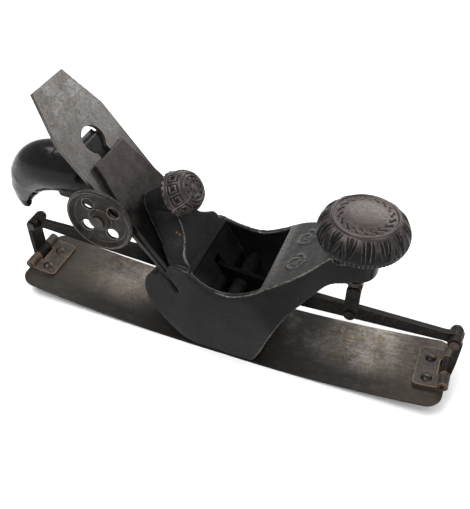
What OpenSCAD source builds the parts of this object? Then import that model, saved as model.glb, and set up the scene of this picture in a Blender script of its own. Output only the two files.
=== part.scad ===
// Adjustable circular plane: a hand plane whose spring steel sole bends to a
// convex or concave curve when the front knob is turned.
// +X points to the toe, +Y to the left side, +Z up. The origin is the lowest
// point of the sole, in the middle of its length and width.

/* [Sole] */
// Length of the steel sole
sole_length = 254; // [240:1:270]
// Width of the steel sole
sole_width = 47; // [46.6:0.1:50]
// Thickness of the spring steel
sole_thick = 1.4; // [1.2:0.1:1.5]
// How far the ends stand above the middle at rest
sole_rise = 9.5; // [8:0.1:11]
// Corner radius in plan
sole_corner = 8; // [5:0.5:10]

/* [Cutting iron and bed] */
// Angle of the bed from the sole
bed_angle = 51; // [50.5:0.1:51.5]
// Where the plane of the iron's upper face meets the ground line
bed_foot_x = 15.2; // [15:0.1:15.4]
// Width of the cutting iron
iron_width = 44.5; // [44:0.1:44.6]
// Thickness of the cutting iron
iron_thick = 2.2; // [2:0.1:2.2]
// Length of the cutting iron
iron_length = 178.2; // [170:0.1:182]
// Width of the iron's clipped top end
iron_top_width = 26.8; // [24:0.1:32]
// Width of the long slot in the iron
iron_slot = 9; // [8.6:0.1:9.4]
// Diameter of the round end of the slot
keyhole_d = 15.8; // [14:0.1:16.4]

/* [Body casting] */
// Thickness of the cheeks
wall = 3.2; // [3:0.1:3.6]
// Half width of the casting where it stands on the sole
foot_half = 23.2; // [23:0.1:23.3]
// Half width of the casting at the top of the cheeks
flare_half = 28.6; // [28:0.1:29]
// Radius of the boss under the front knob
boss_r = 10.7; // [10.6:0.1:11.2]

/* [Front knob] */
// Where the knob's axis stands, ahead of the middle of the sole
knob_x = 70; // [69.8:0.1:70.2]
// Largest radius of the front knob
knob_r = 22.9; // [22:0.1:24]
// Radius of the adjusting screw
screw_r = 3.5; // [3.3:0.1:3.5]

/* [Depth wheel and clamp] */
// Radius of the depth wheel
wheel_r = 19; // [18:0.1:19.4]
// Diameter of the four holes in the wheel
wheel_hole_d = 6.8; // [5:0.1:7.2]
// Radius of the clamping knob
clamp_r = 12.5; // [11.5:0.1:13]
// Distance of the clamping screw from the foot of the bed
clamp_s = 95.6; // [95:0.1:96]
// Thickness of the lever cap at its top
cap_thick = 3.2; // [3:0.1:3.4]

/* [Levers] */
// Thickness of the lever bars
lever_thick = 3; // [2.8:0.1:3]
// Module of the gear teeth that join the two levers
tooth_module = 1.6; // [1.6:0.1:1.6]
// Radius of the hinge barrels at the ends of the sole
barrel_r = 2.9; // [2.8:0.05:2.95]

/* [Hidden] */
$fn = 64;

eps = 0.01;
japan = [0.09, 0.09, 0.1];
steel = [0.5, 0.48, 0.46];
dark_steel = [0.3, 0.3, 0.31];
bronze = [0.42, 0.39, 0.37];
rust = [0.4, 0.35, 0.31];

// Where the sole leaves the casting and starts to bend, as [distance from the
// middle, slope there].
toe_bend = [26, 1.2];
heel_bend = [12, 1];
bend_gap = 0.12;

// Radius of the arc that leaves a bend at its slope and ends at the rise.
function arc_r(bend) = let (run = sole_length / 2 - bend[0])
    (run * run + sole_rise * sole_rise)
    / (2 * (sole_rise * cos(bend[1]) - run * sin(bend[1])));
// Centre of that arc, as [x, z] on the toe side.
function arc_centre(bend) = [bend[0] - arc_r(bend) * sin(bend[1]), arc_r(bend) * cos(bend[1])];

// The linkage lies a little to the left of the middle.
link_y = 2;
lever_y0 = link_y - lever_thick / 2;
lever_y1 = link_y + lever_thick / 2;

// Gear sectors: the tooth counts make both ends of the sole rise alike.
front_teeth = 24;
rear_teeth = 20;
front_pitch_r = tooth_module * front_teeth / 2;
rear_pitch_r = tooth_module * rear_teeth / 2;
front_pivot = [7.79, 35];
rear_pivot = [front_pivot[0] - front_pitch_r - rear_pitch_r, 35];
pivot_pin_r = 3;

// Ends of the linkage, as [x, z] on the toe side.
lever_end = [125.5, 38];
barrel = [125.9, 13.7];
barrel_pin_r = 1.5;
end_pin_r = 1.8;
eye_r = 3.6;
open_pivot_gap = 0.35;
strap_top = [70.6, 54.8];
strap_foot = [70.6, 37.6];

// Hinge plates, as a span in Y.
plate_y0 = -12.3;
plate_y1 = 15.5;
shackle_y0 = link_y - 5.2;
shackle_y1 = link_y + 5.2;
rivet_x = 117.3;
rivet_y = [-6.6, 7.8];
plate_thick = 1.8;

// Boss and front knob heights.
boss_z0 = 67.6;
boss_z1 = 81;
neck_r = 6.5;
neck_z0 = 71.8;
run_gap = 0.05;

// Depth adjuster, in the bed's own frame: distance up the bed, and height
// above the iron's upper face.
shaft_s = 110.3;
shaft_off = -8;
shaft_r = 2.5;
rack_module = 0.6;
pinion_teeth = 12;
pinion_pitch_r = rack_module * pinion_teeth / 2;
bed_thick = 4;
ridge_off = 17.2;
bed_end_s = 144;
bed_half = 13.5;
lug_r = 5.7;
hole_circle = 10.2;
slot_end = 27.4;

// A smooth curve through the points p, with n steps between two points.
function blend_point(a, b, c, d, t) =
    0.5 * (2 * b + (c - a) * t + (2 * a - 5 * b + 4 * c - d) * t * t
        + (3 * b - a - 3 * c + d) * t * t * t);
function smooth(p, n) = let (last = len(p) - 1) concat(
    [for (i = [0:last - 1], k = [0:n - 1])
        blend_point(p[max(i - 1, 0)], p[i], p[i + 1], p[min(i + 2, last)], k / n)],
    [p[last]]
);

// Extrudes an outline drawn in X and Z from y0 to y1.
module across(y0, y1) {
    translate([0, y1, 0]) rotate([90, 0, 0]) linear_extrude(y1 - y0) children();
}

// A rod along Y, from y0 to y1, at p = [x, z].
module rod(p, r, y0, y1) {
    translate([p[0], y1, p[1]]) rotate([90, 0, 0]) cylinder(r = r, h = y1 - y0);
}

// The bed's frame: X runs down the bed to the mouth, Z stands up from the
// upper face of the iron.
module on_bed() {
    translate([bed_foot_x, 0, 0]) rotate([0, bed_angle, 0]) children();
}

// Plan of one half of the sole, with its rounded corners.
module half_plan() {
    half = sole_width / 2;
    translate([0, 0, -5])
        linear_extrude(40)
            union() {
                translate([0, -half]) square([sole_length / 2 - sole_corner, sole_width]);
                translate([0, -half + sole_corner])
                    square([sole_length / 2, sole_width - 2 * sole_corner]);
                for (side = [-1, 1])
                    translate([sole_length / 2 - sole_corner, side * (half - sole_corner)])
                        circle(r = sole_corner);
            }
}

// One half of the sole, bent up from where it leaves the casting.
module half_sole(bend) {
    difference() {
        intersection() {
            across(-sole_width / 2, sole_width / 2)
                intersection() {
                    translate(arc_centre(bend))
                        difference() {
                            circle(r = arc_r(bend), $fn = 1440);
                            circle(r = arc_r(bend) - sole_thick, $fn = 1440);
                        }
                    translate([bend[0] + bend_gap, -5]) square([sole_length / 2 - bend[0], 40]);
                }
            half_plan();
        }
        rivet_holes(bend);
    }
}

// ---------------------------------------------------------------- casting

// Side view of the cheeks, the front arm and the boss, as four curves.
module side_outline() {
    front = [
        [24, sole_thick], [28.6, 11.6], [32.8, 24.5], [37.5, 36.8], [42, 46], [48, 54],
        [54, 61], [58, 65.2], [63, 67.3], [70, 67.6]
    ];
    // The deck ends in a step down to the boss.
    top = [
        [59.6, 84.8], [58.4, 84.6], [54, 81], [49.2, 77.2], [43, 73], [36, 68.8], [30, 64.4],
        [24, 59.9], [18, 56.2], [12.7, 53.8], [7, 53.2], [1.6, 53.5], [-4, 54.9], [-9.5, 57.4], [-14, 59.2]
    ];
    rear = [
        [-14, 59.2], [-19, 59.3], [-24, 57.6], [-27, 54.2], [-30.3, 50.6], [-35, 48.4],
        [-38.6, 44.5], [-40.8, 39], [-41, 33], [-39.6, 27.5], [-35.6, 20], [-27, 11.5], [-16, 4],
        [-11, sole_thick]
    ];
    polygon(concat(smooth(front, 3), [[70, 81], [60.6, 81]], smooth(top, 3), smooth(rear, 3)));
}

// Plan of the casting: narrow at the rear, widest at the throat, drawn in to
// the boss. inset moves every side inwards.
module plan_outline(inset) {
    half = smooth([
        [70, 10.7], [60, 13.8], [55, 16.5], [48, 21], [40, 25], [32, 27.4], [22, 28.6],
        [8, 28.6], [-2, 27.9], [-12, 26], [-22, 23.6], [-32, 22.2], [-46, 20.5]
    ], 2);
    n = len(half);
    polygon(concat(
        [for (p = half) [p[0], p[1] - inset]],
        [for (i = [n - 1:-1:0]) [half[i][0], inset - half[i][1]]]
    ));
}

// Front view: the cheeks lean outwards from the sole.
module flare(inset) {
    a = foot_half - inset;
    b = flare_half - inset;
    translate([-60, 0, 0]) rotate([90, 0, 90])
        linear_extrude(150)
            polygon([[-a, 0], [a, 0], [b, 54], [b, 100], [-b, 100], [-b, 54]]);
}

// The hollow between the cheeks and under the deck, in side view.
module hollow_outline() {
    polygon([
        [-50, -5], [66, -5], [62, 60], [57, 72], [50, 71.4], [42.5, 66.6], [36, 62.6],
        [28.5, 57.5], [26.5, 66], [26.5, 90], [-50, 90]
    ]);
}

module cheek_shell() {
    difference() {
        intersection() {
            across(-32, 32) side_outline();
            linear_extrude(100) plan_outline(0);
            flare(0);
        }
        intersection() {
            across(-32, 32) hollow_outline();
            translate([0, 0, -5]) linear_extrude(100) plan_outline(wall);
            translate([0, 0, -1]) flare(wall);
        }
    }
}

// Floors that carry the sole, behind and ahead of the mouth.
module floors() {
    across(-21.5, 21.5) {
        polygon([[-11, 0], [10.9, 0], [10.9, 3], [7.6, 6.5], [-11, 6.5]]);
        polygon([[17.6, 0], [25, 0], [27, 6.5], [19.4, 6.5]]);
    }
}

// The bed: a sloping plate that carries the iron, narrower above.
module bed_plate() {
    on_bed() {
        translate([-66, -21.5, -iron_thick - bed_thick]) cube([64, 43, bed_thick]);
        translate([-bed_end_s, -bed_half, -iron_thick - bed_thick])
            cube([bed_end_s - 60, 2 * bed_half, bed_thick]);
    }
}

// The rib behind the bed, which runs back into the tail horn.
module frog_web() {
    across(-7, 7)
        polygon([
            [-31, 47.5], [-29.2, 50.8], [-56.3, 83.8], [-79.6, 112.2], [-83, 104], [-96, 102],
            [-98, 72], [-80, 70], [-62, 62], [-40, 50]
        ]);
    across(-20.5, 20.5)
        polygon([[-34, 43.5], [-28.5, 43.5], [-30.6, 50.4], [-36, 48]]);
}

// The tail horn: a rounded hook that fits the palm, as [x, z, radius].
horn = [
    [-90, 87.5, 14.2], [-102, 86.8, 15.2], [-111.5, 83.3, 14.4], [-119.4, 76.6, 12],
    [-124.8, 67.8, 8.8], [-127.8, 59.6, 5.4], [-127.9, 53.6, 3.4]
];

module tail_horn() {
    scale([1, 0.8, 1])
        for (i = [0:len(horn) - 2])
            hull()
                for (p = [horn[i], horn[i + 1]])
                    translate([p[0], 0, p[1]]) sphere(r = p[2], $fn = 28);
}

// Half width of the bridge at distances up the bed: where it meets the lever
// cap, and at its upper edge.
bridge_foot = [
    [60, 22.3], [66, 22], [70, 21.2], [75, 18.4], [80, 15.2], [86, 12.6], [92, 10.6], [98, 7.6],
    [102, 2]
];
bridge_top = [
    [60, 22.3], [66, 21.6], [70, 20.5], [73.6, 15.5], [77.7, 10.6], [86, 6.5], [92, 7],
    [98, 5.6], [102, 1]
];

// Plan of the bridge, from 0 at its foot to 1 at its upper edge.
module bridge_plan(t) {
    half = smooth([
        for (i = [0:len(bridge_foot) - 1]) bridge_foot[i] * (1 - t) + bridge_top[i] * t
    ], 2);
    n = len(half);
    polygon(concat(
        [for (i = [n - 1:-1:0]) [-half[i][0], -half[i][1]]],
        [for (p = half) [-p[0], p[1]]]
    ));
}

// The bridge: a hollow saddle over the lever cap, necked in towards the round
// boss that carries the clamping screw.
module bridge() {
    levels = 5;
    foot = cap_thick + 1.2;
    rise = (ridge_off - 1 - foot) / levels;
    on_bed()
        difference() {
            union() {
                for (i = [0:levels - 1])
                    translate([0, 0, foot + i * rise])
                        linear_extrude(rise + eps) bridge_plan(i / (levels - 1));
                translate([-clamp_s, 0, foot]) cylinder(r = 8.5, h = 20 - foot);
            }
            translate([0, 0, foot - 1])
                linear_extrude(rise * 3)
                    polygon([[-82, -7], [-50, -18], [-50, 18], [-82, 7]]);
        }
}

// The apron: a sloping plate between the cheeks, from the bridge's neck down
// to a lip in front of the iron.
module apron() {
    top = smooth([
        [-34.6, 90.8], [-29, 83.2], [-20.5, 71.5], [-13.2, 61], [-9.9, 54.7], [-6, 47.7],
        [-2.6, 41.9], [0.8, 36.6], [1.6, 26.6]
    ], 3);
    intersection() {
        across(-32, 32)
            polygon(concat(
                top,
                [[-1.6, 26.6], [-2.2, 35.6], [-5.6, 40.8], [-9, 46.2], [-12.8, 53], [-16, 59],
                    [-23.4, 69.6], [-31.6, 81], [-37.4, 88.8]]
            ));
        on_bed()
            linear_extrude(40)
                union() {
                    bridge_plan(1);
                    translate([-64, -30]) square([64, 60]);
                }
        linear_extrude(100) plan_outline(1);
        flare(1);
    }
}

// The boss at the end of the front arm, rounded below.
module boss() {
    fillet = 3;
    translate([knob_x, 0, boss_z0])
        rotate_extrude($fn = 96)
            polygon(concat(
                [[0, boss_z1 - boss_z0], [0, 0]],
                [for (i = [0:6])
                    [boss_r - fillet + fillet * sin(15 * i), fillet - fillet * cos(15 * i)]],
                [[boss_r, boss_z1 - boss_z0]]
            ));
}

// Space that the moving and fitted pieces take out of the casting.
module casting_cuts() {
    half = iron_width / 2 + 0.3;
    slot_half = lever_thick / 2 + 1.5;
    on_bed() {
        // The iron's path down to the mouth.
        translate([-80, -half, -iron_thick]) cube([90, 2 * half, iron_thick + 0.5]);
        // The iron's edges show through both cheeks near their top.
        translate([-69, -30, -iron_thick]) cube([15.5, 60, iron_thick + 0.2]);
        // The lever cap lies between the cheeks.
        translate([-80, -half, -1]) cube([34, 2 * half, 7]);
        // Slots in the bed for the levers, the depth rack and its crossbar.
        translate([-64, link_y - slot_half, -20]) cube([36, 2 * slot_half, 20]);
        translate([-124, -4, -6.5]) cube([24, 8, 6.5]);
        translate([-124, -9.5, -4.2]) cube([12, 19, 4.2]);
        translate([-clamp_s, 0, 0]) cylinder(r = 3 + run_gap, h = 30);
        translate([-clamp_s, 0, 0]) cylinder(r = 8.3, h = cap_thick + 1.5);
        // Depth shaft and its pinion.
        rod([-shaft_s, shaft_off], shaft_r + run_gap, -20, 20);
        rod([-shaft_s, shaft_off], 4.6, -4.1, 4.1);
    }
    // Room for the two levers and their teeth.
    across(link_y - slot_half, link_y + slot_half)
        polygon([
            [-70, 22], [30, 14], [60, 20], [60, 54], [10, 52], [-4, 48], [-20, 54], [-36, 46],
            [-70, 46]
        ]);
    rod(front_pivot, pivot_pin_r, -24.6, 24.6);
    rod(rear_pivot, pivot_pin_r, -21.8, 21.8);
    // Bore of the boss, wide above for the knob's neck.
    translate([knob_x, 0, boss_z0 - 10]) cylinder(r = screw_r + run_gap, h = 40);
    translate([knob_x, 0, neck_z0 - 0.3]) cylinder(r = neck_r + run_gap, h = 20);
    translate([knob_x - 20, neck_r - 0.1, 76]) rotate([0, 90, 0]) cylinder(r = 1.25, h = 40);
    // Holes for the screws that hold the sole.
    for (p = sole_screw_at) translate([p[0], p[1], -1]) cylinder(r = 1.8, h = 12);
    // The flat seat on the sole.
    translate([-60, -40, -20]) cube([160, 80, 20 + sole_thick]);
}

sole_screw_at = [for (x = [-5, 22], y = [-14, 14]) [x, y]];

module body_casting() {
    color(japan)
        difference() {
            union() {
                cheek_shell();
                floors();
                bed_plate();
                frog_web();
                tail_horn();
                bridge();
                apron();
                on_bed() rod([-shaft_s, shaft_off], lug_r, -14, bed_half);
                boss();
            }
            casting_cuts();
        }
}

// ------------------------------------------------------------------- sole

module sole_centre() {
    half = sole_width / 2;
    color(steel)
        difference() {
            translate([-heel_bend[0], -half, 0])
                cube([heel_bend[0] + toe_bend[0], sole_width, sole_thick]);
            // The mouth.
            translate([11.3, 1 - half, -1]) cube([5.6, sole_width - 2, 4]);
            for (p = sole_screw_at) translate([p[0], p[1], -1]) cylinder(r = 1.8, h = 12);
        }
}

module sole_screws() {
    color(dark_steel)
        for (p = sole_screw_at) {
            translate([p[0], p[1], 0.1]) cylinder(r = 1.8, h = 6.4);
            translate([p[0], p[1], 6.5]) cylinder(r1 = 3, r2 = 2.2, h = 1.4);
        }
}

module toe_sole() { color(steel) half_sole(toe_bend); }
module heel_sole() { color(steel) mirror([1, 0, 0]) half_sole(heel_bend); }

// ------------------------------------------------- hinges at the sole ends

// A frame whose origin lies on the sole's upper face at the rivets, sloping
// with the sole there.
module at_rivets(bend) {
    r = arc_r(bend) - sole_thick;
    centre = arc_centre(bend);
    slope = asin((rivet_x - centre[0]) / r);
    translate([rivet_x, 0, centre[1] - r * cos(slope)]) rotate([0, -slope, 0]) children();
}

module rivet_holes(bend) {
    at_rivets(bend) for (y = rivet_y) translate([0, y, -4]) cylinder(r = 1.6, h = 10);
}

module hinge_plate(bend) {
    depth = plate_y1 - plate_y0;
    corner = 2.5;
    difference() {
        union() {
            at_rivets(bend) translate([-6.8, plate_y0, 0.03]) {
                translate([corner, 0, 0]) cube([13.4, depth, plate_thick]);
                translate([0, corner, 0]) cube([6, depth - 2 * corner, plate_thick]);
                for (y = [corner, depth - corner])
                    translate([corner, y, 0]) cylinder(r = corner, h = plate_thick);
            }
            rod(barrel, barrel_r, plate_y0, plate_y1);
        }
        rod(barrel, barrel_pin_r, plate_y0 - 1, plate_y1 + 1);
        // Gap for the shackle's knuckle.
        translate([barrel[0] - 3.6, shackle_y0 - 0.3, 0])
            cube([12, shackle_y1 - shackle_y0 + 0.6, 30]);
        rivet_holes(bend);
    }
}

module hinge_rivets(bend) {
    at_rivets(bend) for (y = rivet_y) {
        translate([0, y, 0.2 - sole_thick]) cylinder(r = 1.6, h = sole_thick + plate_thick);
        // A low domed head.
        translate([0, y, plate_thick + 0.03])
            intersection() {
                translate([0, 0, -2.6]) sphere(r = 4.1);
                cylinder(r = 3.1, h = 3);
            }
    }
}

module hinge_pin() {
    rod(barrel, barrel_pin_r, plate_y0 - 0.3, plate_y1 + 0.3);
}

// The shackle: a strap with a knuckle below and two ears above.
module shackle() {
    difference() {
        union() {
            across(shackle_y0, shackle_y1) {
                translate(barrel) circle(r = barrel_r);
                translate(lever_end) circle(r = eye_r);
                polygon([
                    [126.2, barrel[1]], [128.8, barrel[1]], [129.4, 24],
                    [129.6, lever_end[1]], [127, lever_end[1]], [126.6, 24]
                ]);
            }
        }
        rod(barrel, barrel_pin_r + run_gap, shackle_y0 - 1, shackle_y1 + 1);
        rod(lever_end, end_pin_r + open_pivot_gap, shackle_y0 - 1, shackle_y1 + 1);
        // Fork for the lever's eye.
        translate([115, lever_y0 - 0.4, 31.5]) cube([20, lever_thick + 0.8, 20]);
    }
}

module lever_end_pin() {
    rod(lever_end, end_pin_r, shackle_y0 - 1, shackle_y1 + 1);
    rod(lever_end, 2.6, shackle_y0 - 1.5, shackle_y0 - 0.3);
    rod(lever_end, 2.8, shackle_y1 + 0.3, shackle_y1 + 1.6);
}

module toe_hinge_plate() { color(rust) hinge_plate(toe_bend); }
module toe_rivets() { color(dark_steel) hinge_rivets(toe_bend); }
module toe_hinge_pin() { color(dark_steel) hinge_pin(); }
module toe_shackle() { color(dark_steel) shackle(); }
module toe_lever_pin() { color(steel) lever_end_pin(); }
module heel_hinge_plate() { color(rust) mirror([1, 0, 0]) hinge_plate(heel_bend); }
module heel_rivets() { color(dark_steel) mirror([1, 0, 0]) hinge_rivets(heel_bend); }
module heel_hinge_pin() { color(dark_steel) mirror([1, 0, 0]) hinge_pin(); }
module heel_shackle() { color(dark_steel) mirror([1, 0, 0]) shackle(); }
module heel_lever_pin() { color(steel) mirror([1, 0, 0]) lever_end_pin(); }

// ----------------------------------------------------------------- levers

// Point on an involute that starts on the base circle rb, t in degrees.
function involute(rb, t) = rb * [
    cos(t) + t * PI / 180 * sin(t),
    sin(t) - t * PI / 180 * cos(t)
];
function turned(p, a) = [p[0] * cos(a) - p[1] * sin(a), p[0] * sin(a) + p[1] * cos(a)];
// Unrolled angle at which the involute reaches radius r.
function unroll(rb, r) = sqrt(max(0, pow(r / rb, 2) - 1)) * 180 / PI;

// One involute tooth that points along +X, thinned a little for backlash.
module gear_tooth(m, teeth) {
    pitch_r = m * teeth / 2;
    rb = pitch_r * cos(20);
    start = 90 / teeth + (tan(20) * 180 / PI - 20) - 0.12 * 180 / PI * m / 1.6 / pitch_r;
    t1 = unroll(rb, pitch_r + 0.9 * m);
    flank = [for (i = [0:6]) turned(involute(rb, t1 * i / 6), -start)];
    root = pitch_r - 1.4 * m;
    polygon(concat(
        [turned([root, 0], -start)], flank,
        [for (i = [6:-1:0]) [flank[i][0], -flank[i][1]]],
        [turned([root, 0], start)]
    ));
}

// A toothed sector about the origin, facing +X.
module gear_sector(m, teeth, at, half_angle) {
    root = m * teeth / 2 - 1.25 * m;
    for (a = at) rotate(a) gear_tooth(m, teeth);
    intersection() {
        circle(r = root);
        polygon([
            [-6, -6], [0, -8], 40 * [cos(half_angle), -sin(half_angle)],
            40 * [cos(half_angle), sin(half_angle)], [0, 8], [-6, 6]
        ]);
    }
}

module front_lever() {
    color(dark_steel)
        difference() {
            across(lever_y0, lever_y1) {
                translate(front_pivot) rotate(180)
                    gear_sector(tooth_module, front_teeth, [-15, 0, 15], 20);
                translate(front_pivot) circle(r = 8.2);
                polygon([
                    [8, 26.9], [24, 29], [42, 30.6], [120, 34.7], [125, 34],
                    [125, 42], [120, 40.9], [60, 41.4], [24, 42], [8, 43.1]
                ]);
                translate(lever_end) circle(r = eye_r);
            }
            rod(front_pivot, pivot_pin_r + run_gap, -5, 10);
            rod(lever_end, end_pin_r, -5, 10);
            rod(strap_foot, 2, -5, 10);
        }
}

module rear_lever() {
    color(dark_steel)
        difference() {
            across(lever_y0, lever_y1) {
                translate(rear_pivot)
                    gear_sector(tooth_module, rear_teeth, [-27, -9, 9, 27], 32);
                translate(rear_pivot) circle(r = 7.6);
                polygon([
                    [-125, 34], [-120, 34.9], [-90, 32.4], [-56, 30.4], [-42, 29.4],
                    [-27.5, 27.5], [-27.5, 42.5], [-60, 41], [-120, 40.4], [-125, 42]
                ]);
                translate([-lever_end[0], lever_end[1]]) circle(r = eye_r);
            }
            rod(rear_pivot, pivot_pin_r + run_gap, -5, 10);
            rod([-lever_end[0], lever_end[1]], end_pin_r, -5, 10);
        }
}

module lever_pivot_pins() {
    color(steel) {
        rod(front_pivot, pivot_pin_r, -24.4, 24.4);
        rod(rear_pivot, pivot_pin_r, -21.6, 21.6);
    }
}

// Sleeves that keep each lever in its place along the pivot pin.
module pivot_spacers() {
    color(steel)
        for (p = [front_pivot, rear_pivot], span = [[-17, lever_y0 - 0.3], [lever_y1 + 0.3, 19]])
            difference() {
                rod(p, 4.2, span[0], span[1]);
                rod(p, pivot_pin_r, span[0] - 1, span[1] + 1);
            }
}

// ------------------------------------------------- front knob and its link

module front_knob() {
    k = knob_r;
    color(bronze)
        difference() {
            translate([knob_x, 0, 0]) {
                rotate_extrude($fn = 96)
                    polygon([
                        [0, neck_z0], [neck_r, neck_z0], [neck_r, 74.5], [5, 74.5], [5, 77.5],
                        [neck_r, 77.5], [neck_r, 82.2], [9, 82.2], [9, 84.4], [8, 86],
                        [12, 87.6], [k - 4.2, 87.6], [k - 2.6, 88.2], [k - 1.3, 89.8],
                        [k - 0.3, 91.6], [k, 93], [k - 0.3, 95.4], [k - 1, 97.8],
                        [k - 2.3, 100.1], [k - 4.2, 101.9], [k - 6, 102.9], [k - 6.6, 104],
                        [k - 7.8, 104], [k - 8, 103.2], [k - 11.7, 103.9],
                        [k - 12, 104.6], [6, 105.4], [0, 105.6]
                    ]);
            }
            translate([knob_x, 0, neck_z0 - 1]) cylinder(r = screw_r + run_gap, h = 32);
        }
}

module knob_washer() {
    color(steel)
        translate([knob_x, 0, boss_z1])
            difference() {
                cylinder(r = 9, h = 1);
                translate([0, 0, -1]) cylinder(r = neck_r + 0.3, h = 3);
            }
}

module knob_retaining_pin() {
    color(dark_steel)
        translate([knob_x - 10, neck_r - 0.1, 76]) rotate([0, 90, 0]) cylinder(r = 1.25, h = 20);
}

// The screw doesn't turn: it ends in a flat tongue that carries the strap.
module adjusting_screw() {
    color(steel)
        difference() {
            union() {
                translate([knob_x, 0, 61]) cylinder(r = screw_r, h = 38);
                translate([knob_x, 0, 60]) cylinder(r = 4.6, h = 2.4);
                across(lever_y0, lever_y1)
                    union() {
                        translate(strap_top) circle(r = 3.8);
                        translate([strap_top[0] - 3.8, strap_top[1]]) square([7.6, 6.5]);
                    }
            }
            rod(strap_top, 2, -5, 10);
        }
}

module link_strap() {
    color(dark_steel)
        difference() {
            across(lever_y0 - 2.8, lever_y0 - 0.3) {
                translate(strap_top) circle(r = 3.8);
                translate(strap_foot) circle(r = 3.8);
                translate(strap_foot - [3.8, 0]) square([7.6, strap_top[1] - strap_foot[1]]);
            }
            rod(strap_top, 2 + run_gap, -5, 10);
            rod(strap_foot, 2 + open_pivot_gap, -5, 10);
        }
}

module strap_upper_rivet() {
    color(steel) {
        rod(strap_top, 2, lever_y0 - 2.8, lever_y1 + 0.2);
        rod(strap_top, 3, lever_y0 - 4, lever_y0 - 2.8);
        rod(strap_top, 3, lever_y1, lever_y1 + 1.2);
    }
}

module strap_lower_rivet() {
    color(steel) {
        rod(strap_foot, 2, lever_y0 - 3.2, lever_y1 + 0.2);
        rod(strap_foot, 3, lever_y0 - 4.3, lever_y0 - 3.1);
        rod(strap_foot, 3, lever_y1, lever_y1 + 1.2);
    }
}

// -------------------------------------------------------- iron and its cap

module cutting_iron() {
    half = iron_width / 2;
    top = iron_top_width / 2;
    color(steel)
        on_bed()
            difference() {
                intersection() {
                    translate([0, 0, -iron_thick])
                        linear_extrude(iron_thick)
                            difference() {
                                polygon([
                                    [0, -half], [-153, -half], [-iron_length - 0.4, 0.9 - top],
                                    [-iron_length - 0.4, 0.9 + top], [-153, half], [0, half]
                                ]);
                                translate([-142, 0]) circle(d = keyhole_d);
                                translate([-142, -iron_slot / 2])
                                    square([142 - slot_end - iron_slot / 2, iron_slot]);
                                translate([-slot_end - iron_slot / 2, 0]) circle(d = iron_slot);
                            }
                    // The bevel is ground on the underside.
                    across(-30, 30)
                        polygon([
                            [-0.4, 0], [-5.2, -iron_thick], [-190, -iron_thick], [-190, 0]
                        ]);
                }
                // Cross groove for the depth rack's teeth.
                translate([-119.1, -9.6, -iron_thick - 1]) cube([2.2, 19.2, 2]);
            }
}

// The cap presses on the iron near the mouth, and carries a round pad under
// the clamping screw. A notch below lets the levers through.
module lever_cap() {
    outline = [
        [-132.8, 14], [-126.8, 14.8], [-120, 16.6], [-112, 18.3], [-104, 20], [-97, 20.9],
        [-84, 21.6], [-72, 21.8], [-50, 21.8]
    ];
    n = len(outline);
    color([0.34, 0.31, 0.3])
        on_bed() difference() {
            union() {
                translate([0, 0, 0.02])
                    linear_extrude(cap_thick)
                        polygon(concat(
                            [for (p = outline) [p[0], -p[1]]],
                            [for (i = [n - 1:-1:0]) outline[i]]
                        ));
                translate([-clamp_s, 0, 3]) cylinder(r1 = 8, r2 = 6, h = 1.4);
            }
            translate([-76, lever_y0 - 1.5, -1]) cube([30, lever_thick + 3, 8]);
        }
}

module depth_rack() {
    pitch = PI * rack_module;
    line = shaft_off + pinion_pitch_r;
    color(dark_steel)
        on_bed() {
            across(-3.5, 3.5) {
                translate([-120, line + 0.75]) square([17.5, -iron_thick - 0.05 - line - 0.75]);
                for (i = [-3:3])
                    translate([-shaft_s + (i + 0.5) * pitch, line])
                        polygon([
                            [-0.74, 0.8], [-0.62, 0.5], [-0.4, 0], [-0.18, -0.5],
                            [0.18, -0.5], [0.4, 0], [0.62, 0.5], [0.74, 0.8]
                        ]);
            }
            // Crossbar with two lips that stand in the iron's groove.
            translate([-119, -9, line + 0.75]) cube([2, 18, -iron_thick - 0.05 - line - 0.75]);
            for (side = [-1, 1])
                translate([-119, side * 7.2 - 1.8, line + 0.75])
                    cube([2, 3.6, -iron_thick + 0.9 - line - 0.75]);
        }
}

// --------------------------------------------------- depth wheel and shaft

module depth_wheel() {
    color(bronze)
        on_bed() difference() {
            translate([-shaft_s, 0, shaft_off]) rotate([90, 0, 0]) {
                // Profile as [radius, distance towards the near side].
                rotate_extrude($fn = 96)
                    polygon([
                        [0, 14.3], [5, 14.3], [5, 22.6], [7, 23.6], [9, 24], [15, 24],
                        [16, 24.4], [wheel_r - 1.4, 24.6], [wheel_r - 0.5, 25], [wheel_r, 26],
                        [wheel_r - 0.3, 27], [wheel_r - 1.4, 27.5], [wheel_r - 2.6, 26.9],
                        [15, 25.6], [8, 25.6], [6.4, 26], [6, 27.4], [4.8, 28.2], [0, 28.2]
                    ]);
            }
            for (i = [0:3])
                rod(
                    [-shaft_s, shaft_off] + hole_circle * [cos(90 * i - 2), sin(90 * i - 2)],
                    wheel_hole_d / 2, -40, -10
                );
            rod([-shaft_s, shaft_off], shaft_r, -40, -10);
        }
}

module wheel_shaft() {
    color(steel)
        on_bed() {
            rod([-shaft_s, shaft_off], shaft_r, -27, 18);
            across(-3.8, 3.8)
                translate([-shaft_s, shaft_off]) {
                    circle(r = pinion_pitch_r - 0.75);
                    for (i = [0:pinion_teeth - 1])
                        rotate(90 + i * 360 / pinion_teeth) gear_tooth(rack_module, pinion_teeth);
                }
        }
}

module wheel_screw() {
    color(dark_steel)
        on_bed() {
            rod([-shaft_s, shaft_off], shaft_r, -28.2, -27);
            rod([-shaft_s, shaft_off], 3.6, -29.2, -28.2);
        }
}

module shaft_nut() {
    color(dark_steel)
        on_bed() difference() {
            translate([-shaft_s, 16.7, shaft_off]) rotate([90, 0, 0]) cylinder(r = 5, h = 2.8, $fn = 6);
            rod([-shaft_s, shaft_off], shaft_r, 10, 22);
        }
}

// --------------------------------------------------------- clamping screw

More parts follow.
